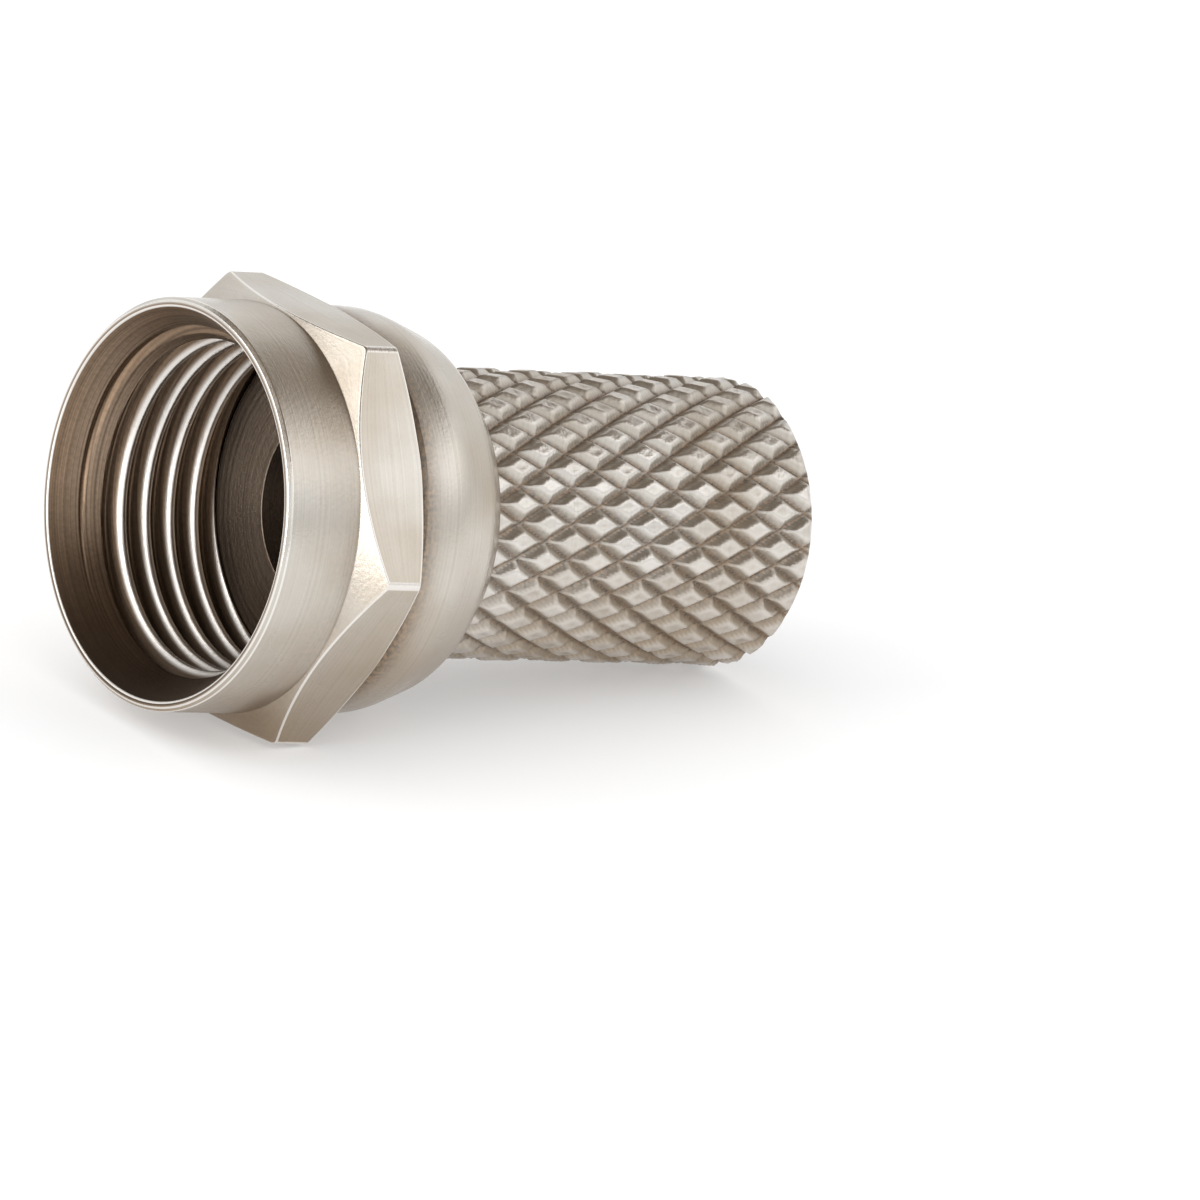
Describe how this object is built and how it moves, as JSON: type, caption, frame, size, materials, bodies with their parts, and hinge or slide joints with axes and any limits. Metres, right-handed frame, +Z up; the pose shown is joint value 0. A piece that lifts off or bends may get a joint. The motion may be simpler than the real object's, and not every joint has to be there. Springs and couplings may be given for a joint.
{
  "type": "coaxial f connector",
  "caption": "Male screw-on coaxial F connector: a loose chamfered hexagon coupling nut on a diamond-knurled cable body.",
  "frame": {"origin": "centre of the bounding box on the surface that the connector lies on", "axes": "+X from the mouth of the nut toward the cable end, +Z up; the turning axis leans down toward the cable end by about 6.5 degrees, as the part lies at rest"},
  "size_m": [0.0198, 0.0128, 0.0114],
  "materials": {
    "nut_nickel": "satin nickel plate on brass, turned and lightly brushed",
    "body_nickel": "satin nickel plate on brass, knurled"
  },
  "bodies": {
    "body": {"cable_body": "body_nickel"},
    "nut": {"coupling_nut": "nut_nickel"}
  },
  "joints": [
    {"name": "nut_spin", "type": "hinge", "parent": "body", "child": "nut", "pos_m": [-0.00424, 0, 0.0054], "axis": [0.9936, 0, -0.1129], "continuous": true}
  ]
}
